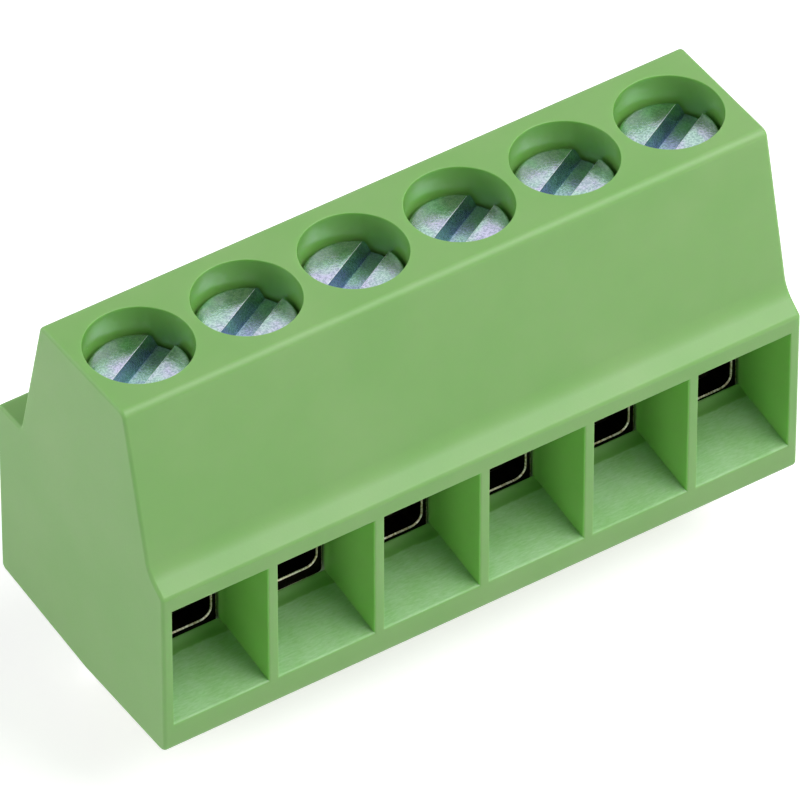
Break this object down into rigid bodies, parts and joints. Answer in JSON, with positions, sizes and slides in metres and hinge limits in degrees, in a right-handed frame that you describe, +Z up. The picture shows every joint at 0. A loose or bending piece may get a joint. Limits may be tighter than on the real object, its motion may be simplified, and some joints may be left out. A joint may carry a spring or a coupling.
{
  "type": "pcb screw terminal",
  "caption": "Board-mounted screw terminal block: moulded housing with funnel wire entries in front, slotted clamp screws on top and solder pins underneath.",
  "frame": {"origin": "middle of the row of solder pins, on the surface of the board", "axes": "+X along the row of poles, -Y towards the wire entries, +Z up from the board, along the screws"},
  "size_m": [0.0154, 0.0062, 0.0102],
  "materials": {
    "housing_green": "moulded polyamide, satin",
    "screw_zinc": "bright zinc plating",
    "clamp_brass": "nickel-plated brass",
    "pin_tin": "tin-plated brass"
  },
  "bodies": {
    "block": {"housing": "housing_green", "contact_pin_1": "pin_tin", "contact_pin_2": "pin_tin", "contact_pin_3": "pin_tin", "contact_pin_4": "pin_tin", "contact_pin_5": "pin_tin", "contact_pin_6": "pin_tin"},
    "screw_1": {"screw_1": "screw_zinc"},
    "screw_2": {"screw_2": "screw_zinc"},
    "screw_3": {"screw_3": "screw_zinc"},
    "screw_4": {"screw_4": "screw_zinc"},
    "screw_5": {"screw_5": "screw_zinc"},
    "screw_6": {"screw_6": "screw_zinc"},
    "clamp_1": {"clamp_1": "clamp_brass"},
    "clamp_2": {"clamp_2": "clamp_brass"},
    "clamp_3": {"clamp_3": "clamp_brass"},
    "clamp_4": {"clamp_4": "clamp_brass"},
    "clamp_5": {"clamp_5": "clamp_brass"},
    "clamp_6": {"clamp_6": "clamp_brass"}
  },
  "joints": [
    {"name": "screw_1_turn", "type": "hinge", "parent": "block", "child": "screw_1", "pos_m": [-0.00635, -0.00163, 0.00763], "axis": [0, 0, -1], "range_deg": [-72.1, 1008.1]},
    {"name": "clamp_1_lift", "type": "slide", "parent": "block", "child": "clamp_1", "axis": [0, 0, 1], "range_m": [-0.00007, 0.00098]},
    {"name": "screw_2_turn", "type": "hinge", "parent": "block", "child": "screw_2", "pos_m": [-0.00381, -0.00163, 0.00763], "axis": [0, 0, -1], "range_deg": [-216.1, 864.1]},
    {"name": "clamp_2_lift", "type": "slide", "parent": "block", "child": "clamp_2", "axis": [0, 0, 1], "range_m": [-0.00021, 0.00084]},
    {"name": "screw_3_turn", "type": "hinge", "parent": "block", "child": "screw_3", "pos_m": [-0.00127, -0.00163, 0.00763], "axis": [0, 0, -1], "range_deg": [-36.1, 1044.1]},
    {"name": "clamp_3_lift", "type": "slide", "parent": "block", "child": "clamp_3", "axis": [0, 0, 1], "range_m": [-0.00003, 0.00102]},
    {"name": "screw_4_turn", "type": "hinge", "parent": "block", "child": "screw_4", "pos_m": [0.00127, -0.00163, 0.00763], "axis": [0, 0, -1], "range_deg": [-36.1, 1044.1]},
    {"name": "clamp_4_lift", "type": "slide", "parent": "block", "child": "clamp_4", "axis": [0, 0, 1], "range_m": [-0.00003, 0.00102]},
    {"name": "screw_5_turn", "type": "hinge", "parent": "block", "child": "screw_5", "pos_m": [0.00381, -0.00163, 0.00763], "axis": [0, 0, -1], "range_deg": [-36.1, 1044.1]},
    {"name": "clamp_5_lift", "type": "slide", "parent": "block", "child": "clamp_5", "axis": [0, 0, 1], "range_m": [-0.00003, 0.00102]},
    {"name": "screw_6_turn", "type": "hinge", "parent": "block", "child": "screw_6", "pos_m": [0.00635, -0.00163, 0.00763], "axis": [0, 0, -1], "range_deg": [-0.1, 1080.1]},
    {"name": "clamp_6_lift", "type": "slide", "parent": "block", "child": "clamp_6", "axis": [0, 0, 1], "range_m": [0, 0.00105]}
  ],
  "couplings": [
    {"joint": "screw_1_turn", "follows": "clamp_1_lift", "rad_per_m": 17952},
    {"joint": "screw_2_turn", "follows": "clamp_2_lift", "rad_per_m": 17952},
    {"joint": "screw_3_turn", "follows": "clamp_3_lift", "rad_per_m": 17952},
    {"joint": "screw_4_turn", "follows": "clamp_4_lift", "rad_per_m": 17952},
    {"joint": "screw_5_turn", "follows": "clamp_5_lift", "rad_per_m": 17952},
    {"joint": "screw_6_turn", "follows": "clamp_6_lift", "rad_per_m": 17952}
  ]
}
